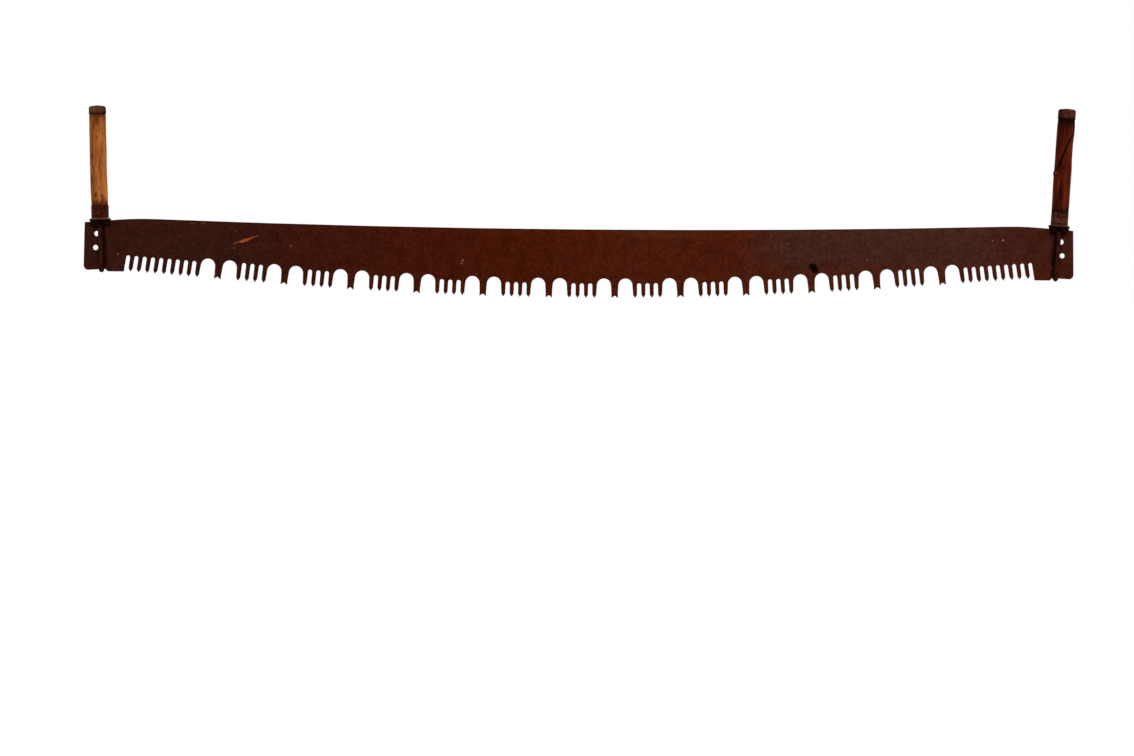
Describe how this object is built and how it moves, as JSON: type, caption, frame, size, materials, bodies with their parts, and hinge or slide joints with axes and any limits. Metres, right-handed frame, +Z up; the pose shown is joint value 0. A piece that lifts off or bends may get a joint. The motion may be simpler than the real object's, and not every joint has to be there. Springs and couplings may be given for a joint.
{
  "type": "two man crosscut saw",
  "caption": "Long hollow-backed two man crosscut saw with lance cutters and rakers, and an upright wooden grip on a screw-tightened iron loop at each end.",
  "frame": {"origin": "mid length of the blade, in its middle plane, level with the lowest tooth tips", "axes": "+X along the blade to the right, +Z up from the teeth to the back and the grips, +Y through the blade, away from the viewer"},
  "size_m": [1.8299, 0.0384, 0.3592],
  "materials": {
    "rusted_steel": "evenly rusted dark brown, pitted, matt",
    "forged_iron": "rusted dark brown, rubbed",
    "cast_iron": "rusted dark brown, rough",
    "tan_wood": "worn oiled hardwood, tan, stained",
    "dark_wood": "worn dark red-brown hardwood, cracked"
  },
  "bodies": {
    "blade": {"blade": "rusted_steel"},
    "left_saddle": {"left_saddle": "cast_iron"},
    "left_grip": {"left_grip": "tan_wood", "left_ferrule": "forged_iron", "left_ferrule_pins": "forged_iron", "left_cap_nut": "cast_iron", "left_cap_pins": "forged_iron"},
    "left_loop": {"left_loop": "forged_iron"},
    "right_saddle": {"right_saddle": "cast_iron"},
    "right_grip": {"right_grip": "dark_wood", "right_ferrule": "forged_iron", "right_ferrule_pins": "forged_iron", "right_cap_nut": "cast_iron", "right_cap_pins": "forged_iron"},
    "right_loop": {"right_loop": "forged_iron"}
  },
  "joints": [
    {"name": "left_handle_slide", "type": "slide", "parent": "blade", "child": "left_saddle", "axis": [-0.9966, 0, -0.0818], "range_m": [0, 0.055]},
    {"name": "left_grip_turn", "type": "hinge", "parent": "left_saddle", "child": "left_grip", "pos_m": [-0.885, 0, 0.13422], "axis": [-0.0349, 0, 0.9994], "range_deg": [0, 2520]},
    {"name": "left_loop_draw", "type": "slide", "parent": "left_saddle", "child": "left_loop", "axis": [0.0349, 0, -0.9994], "range_m": [0, 0.01111]},
    {"name": "right_handle_slide", "type": "slide", "parent": "blade", "child": "right_saddle", "axis": [0.9966, 0, -0.0818], "range_m": [0, 0.055]},
    {"name": "right_grip_turn", "type": "hinge", "parent": "right_saddle", "child": "right_grip", "pos_m": [0.8864, 0, 0.1341], "axis": [0.061, 0, 0.9981], "range_deg": [0, 2520]},
    {"name": "right_loop_draw", "type": "slide", "parent": "right_saddle", "child": "right_loop", "axis": [-0.061, 0, -0.9981], "range_m": [0, 0.01111]}
  ],
  "couplings": [
    {"joint": "left_grip_turn", "follows": "left_loop_draw", "rad_per_m": 3957.9},
    {"joint": "right_grip_turn", "follows": "right_loop_draw", "rad_per_m": 3957.9}
  ]
}
